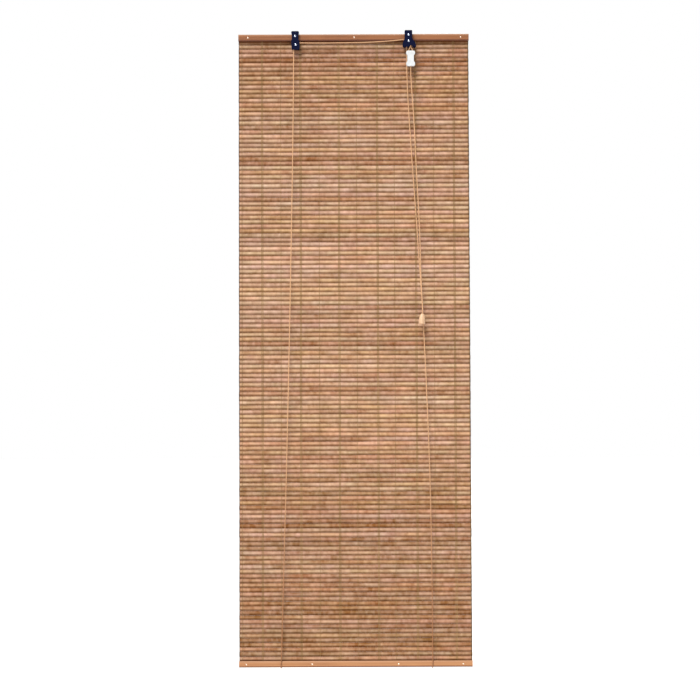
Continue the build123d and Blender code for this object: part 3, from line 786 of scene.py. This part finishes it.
# %% [markdown]
# ## Headrail and bottom rail
#
# The battens are planed bamboo strips, so they keep the imported shape with its
# rounded edges. Their grain is long and straight. The headrail is stained
# redder and darker than the bottom rail, so both share one recipe and differ
# in their two colours.

# %% Batten wood
# Painted light on the battens: a highlight along the top edge and shade along the bottom edge.
highlight_starts, highlight_full = 0.0055, 0.0015  # below the top edge
shade_starts, shade_full = 0.0045, 0.0020  # above the bottom edge


def batten_wood(name, pale, dark, streak_share, top_z, bottom_z):
    """Straight-grained wood: stretched noise blends the two colours, and fine pores roughen it.

    A painted highlight lightens the top edge, and painted shade darkens the last millimetres above the
    bottom edge.
    """
    wood = Finish(name, Coat_Weight=0.12, Coat_Roughness=0.3)
    place = wood.place()
    bands = wood.noise(wood.stretched(place, (2.2, 160.0, 230.0)), detail=3.0, roughness=0.55)
    blotches = wood.noise(wood.stretched(place, (9.0, 30.0, 30.0)), detail=3.0)
    pores = wood.noise(wood.stretched(place, (35.0, 1500.0, 1500.0)), detail=3.0, roughness=0.7)
    share = (bands * 0.75 + blotches * 0.45 - 0.10).between(0.35, 0.75) * streak_share
    base = wood.mix(share, pale, dark)
    height = wood.part(place, "Z")
    # Painted highlight on the top edge, painted shade on the bottom edge.
    top_highlight = height.between(top_z - highlight_starts, top_z - highlight_full) * 0.50
    bottom_shade = (0.0 - height).between(-bottom_z - shade_starts, -bottom_z - shade_full) * 0.92
    base = wood.mix(top_highlight, base, top_highlight_colour)
    base = wood.mix(bottom_shade, base, bottom_shade_colour)
    wood.set("Base Color", wood.tinted(base, 0.84 + pores * 0.32))
    wood.set("Roughness", 0.38 + pores * 0.20)
    wood.bump(pores + bands * 0.5, 0.0002, 0.35)
    return wood.material


# The colours of the painted highlight and the painted shade on the battens.
top_highlight_colour = colour(0.42, 0.23, 0.13)
bottom_shade_colour = colour(0.10, 0.022, 0.004)
rail_low, rail_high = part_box("headrail_front_batten")
foot_low, foot_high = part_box("bottom_rail_front_batten")
rail_pale, rail_dark = colour(0.27, 0.098, 0.030), colour(0.150, 0.045, 0.010)
foot_pale, foot_dark = colour(0.42, 0.190, 0.074), colour(0.27, 0.100, 0.031)
headrail_wood = batten_wood("headrail_wood", rail_pale, rail_dark, 0.9, rail_high.z, rail_low.z)
bottom_rail_wood = batten_wood("bottom_rail_wood", foot_pale, foot_dark, 0.7, foot_high.z, foot_low.z)
print("two wood finishes")

# %% [markdown]
# ## Metal, paint, plastic and turned wood
#
# Small fittings are read by their gloss. The nail and screw heads are plated
# and polished, so they are bright points. The housings are painted dark navy
# with a faint texture. The wheels and the white connector are moulded plastic,
# and the tassel is turned from pale wood, so its grain runs along its height.

# %% Small fittings
ring_waves = 5200.0  # radians a metre of height


def polished_metal(name, tint, roughness):
    """Bright plated metal with faint rubbing marks that change only its roughness."""
    metal = Finish(name, Metallic=1.0, Base_Color=tint)
    marks = metal.noise(metal.stretched(metal.place(), (700.0, 700.0, 2600.0)), detail=3.0)
    metal.set("Roughness", roughness + marks * 0.12)
    metal.bump(marks, 0.00004, 0.3)
    return metal.material


def coloured_skin(name, tint, roughness, coat, gloss, speckle):
    """Paint or moulded plastic of one colour: slow change of tone, and a fine even texture."""
    skin_finish = Finish(name, Coat_Weight=coat, Coat_Roughness=0.12, Specular_IOR_Level=gloss)
    place = skin_finish.place()
    slow = skin_finish.noise(skin_finish.stretched(place, (120.0, 120.0, 120.0)), detail=2.0)
    fine = skin_finish.noise(skin_finish.stretched(place, (2200.0, 2200.0, 2200.0)), detail=2.0)
    skin_finish.set("Base Color", skin_finish.tinted(tint, 0.82 + slow * 0.36))
    skin_finish.set("Roughness", roughness + fine * 0.12)
    skin_finish.bump(fine, speckle, 0.4)
    return skin_finish.material


def turned_wood(name, pale, dark):
    """Turned pale wood: fibres along the height and fine rings that the tool left."""
    wood = Finish(name, Coat_Weight=0.2, Coat_Roughness=0.3)
    place = wood.place()
    fibres = wood.noise(wood.stretched(place, (900.0, 900.0, 60.0)), detail=3.0, roughness=0.6)
    figure = wood.noise(wood.stretched(place, (220.0, 220.0, 25.0)), detail=2.0)
    rings = (wood.part(place, "Z") * ring_waves).sine()
    wood.set("Base Color", wood.mix((fibres * 0.6 + figure * 0.6).between(0.4, 0.85), pale, dark))
    wood.set("Roughness", 0.42 + fibres * 0.16)
    wood.bump(fibres + rings * 0.15, 0.00012, 0.4)
    return wood.material


nail_steel = polished_metal("nail_steel", colour(0.80, 0.66, 0.55), 0.26)
bright_steel = polished_metal("bright_steel", colour(0.60, 0.66, 0.80), 0.20)
roller_steel = polished_metal("roller_steel", colour(0.62, 0.64, 0.68), 0.25)
navy = colour(0.0012, 0.003, 0.022)
dark_grey = colour(0.035, 0.04, 0.06)
near_white = colour(0.60, 0.62, 0.64)
navy_housing = coloured_skin("navy_housing", navy, 0.36, 0.0, 0.10, 0.00006)
wheel_plastic = coloured_skin("wheel_plastic", dark_grey, 0.40, 0.1, 0.4, 0.00004)
connector_plastic = coloured_skin("connector_plastic", near_white, 0.20, 0.3, 0.4, 0.00001)
tassel_wood = turned_wood("tassel_wood", colour(0.72, 0.49, 0.32), colour(0.50, 0.30, 0.17))

finish_of_node = {
    "headrail_front_batten": headrail_wood,
    "headrail_back_batten": headrail_wood,
    "bottom_rail_front_batten": bottom_rail_wood,
    "bottom_rail_back_batten": bottom_rail_wood,
    "headrail_nails": nail_steel,
    "bottom_rail_nails": nail_steel,
    "left_pulley_housing": navy_housing,
    "cord_lock_housing": navy_housing,
    "left_pulley_wheel": wheel_plastic,
    "lock_pulley_front": wheel_plastic,
    "lock_pulley_rear": wheel_plastic,
    "left_pulley_axle": bright_steel,
    "left_pulley_screw": bright_steel,
    "lock_axle": bright_steel,
    "lock_screw": bright_steel,
    "lock_roller": roller_steel,
    "cord_connector": connector_plastic,
    "tassel": tassel_wood,
}
for node, finish in finish_of_node.items():
    nodes[node].data.materials.clear()
    nodes[node].data.materials.append(finish)
print("finished packed nodes:", len(finish_of_node))

# %% [markdown]
# ## Knots
#
# Each cord ends in a knot pulled tight. What shows of it is a small barrel
# wound with slanting turns of the same cord. A surface of two parameters
# gives it: the radius swells between the ends, and a wave that climbs as it
# goes round cuts the grooves between the turns.

# %% Knots
knot_rings = 33
knot_sides = 40
knot_turns = 3
groove_share = 0.16
end_reach = 0.995  # the rings stop just short of the box's ends


def knot_rings_at(node, turns):
    """Rings of a wound barrel that fills the box of a packed knot.

    With h from -1 to 1 along the axis and a the angle round it, the swell is the square root of one
    less |h| to the power 3.5. The radius is the box's half width times the swell, less groove_share of
    it times the groove wave, which is |cos(turns * h * pi / 2 + a / 2)| to the power 6.
    """
    low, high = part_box(node)
    middle, half = (low + high) / 2, (high - low) / 2
    h = np.linspace(-1, 1, knot_rings)[:, None] * end_reach
    a = np.arange(knot_sides)[None, :] / knot_sides * 2 * np.pi
    swell = (1 - np.abs(h) ** 3.5) ** 0.5
    groove = np.abs(np.cos(turns * h * np.pi / 2 + a / 2)) ** 6
    radius = swell * (1 - groove_share * groove)
    rings = np.empty((1, knot_rings, knot_sides, 3))
    rings[0, :, :, 0] = middle.x + half.x * radius * np.cos(a)
    rings[0, :, :, 1] = middle.y + half.y * radius * np.sin(a)
    rings[0, :, :, 2] = middle.z + half.z * h
    return rings


for node in sorted(name for name in nodes if "knot" in name):
    rings = knot_rings_at(node, knot_turns)
    angle = 2 * np.arange(knot_sides) / knot_sides * 2 * np.pi
    length = rings[0, :, :1, 2] - rings[0, 0, 0, 2]
    numbers = braid_numbers(rings.shape[:3], angle, length)
    new_piece(f"wound_{node}", rings, cord_yarn, numbers, crease_deg=80.0)
    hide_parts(node)

# %% [markdown]
# ## The three cords
#
# The two lift cords and the pull cord are made above. Their lengths, printed
# there, are those of the routes with their rounded turns.

print("cords made: 3")

# %% [markdown]
# ## Floor and light
#
# The blind hangs well above a plain pale floor. One large soft lamp stands in
# front, above and to the left, as daylight would fall, and draws the thin
# shadow under each slat. A weaker lamp from behind and above keeps the back
# readable. The world lights softly from all sides, and the camera sees it as
# plain white.

# %% Floor
floor_drop = 0.95
floor_height = cad_low.z - floor_drop
floor_half = 30.0
floor_mesh = bpy.data.meshes.new("studio_floor")
floor_corners = [(-1, -1), (1, -1), (1, 1), (-1, 1)]
floor_mesh.from_pydata(
    [(floor_half * x, floor_half * y, floor_height) for x, y in floor_corners], [], [(0, 1, 2, 3)]
)
floor = bpy.data.objects.new("studio_floor", floor_mesh)
bpy.context.scene.collection.objects.link(floor)
floor_finish = Finish("pale_floor", Base_Color=colour(0.88, 0.88, 0.88), Roughness=0.9)
floor_mesh.materials.append(floor_finish.material)
print("floor at", round(floor_height, 3))

# %% [markdown]
# The lamps are distant, so they light the top and the foot of the blind alike.
# Their spread softens the shadows' edges.

# %% Light
fill_strength = 0.30


def soft_sun(name, azimuth_deg, elevation_deg, strength, spread_deg, tint):
    """A distant lamp. At azimuth 0 it shines from the front, and at a positive one from the right."""
    data = bpy.data.lights.new(name, "SUN")
    data.energy = strength
    data.angle = math.radians(spread_deg)
    data.color = tint
    lamp = bpy.data.objects.new(name, data)
    a, e = math.radians(azimuth_deg), math.radians(elevation_deg)
    source = Vector((math.sin(a) * math.cos(e), -math.cos(a) * math.cos(e), math.sin(e)))
    lamp.matrix_world = source.to_track_quat("Z", "Y").to_matrix().to_4x4()
    bpy.context.scene.collection.objects.link(lamp)


soft_sun("key_lamp", -25.0, 50.0, 4.1, 28.0, (1.0, 0.985, 0.965))
soft_sun("back_lamp", 160.0, 45.0, 1.6, 30.0, (0.97, 0.985, 1.0))

world = bpy.data.worlds.new("studio_world")
bpy.context.scene.world = world
world.use_nodes = True
world_tree = world.node_tree
world_tree.nodes.clear()
seen = world_tree.nodes.new("ShaderNodeBackground")
seen.inputs["Color"].default_value = (1.0, 1.0, 1.0, 1.0)
seen.inputs["Strength"].default_value = 1.0
fill = world_tree.nodes.new("ShaderNodeBackground")
fill.inputs["Color"].default_value = (1.0, 0.96, 0.91, 1.0)
fill.inputs["Strength"].default_value = fill_strength
ray = world_tree.nodes.new("ShaderNodeLightPath")
chooser = world_tree.nodes.new("ShaderNodeMixShader")
world_output = world_tree.nodes.new("ShaderNodeOutputWorld")
world_tree.links.new(ray.outputs["Is Camera Ray"], chooser.inputs[0])
world_tree.links.new(fill.outputs[0], chooser.inputs[1])
world_tree.links.new(seen.outputs[0], chooser.inputs[2])
world_tree.links.new(chooser.outputs[0], world_output.inputs["Surface"])
bpy.context.scene.view_settings.view_transform = "Standard"
print("lamps: 2")
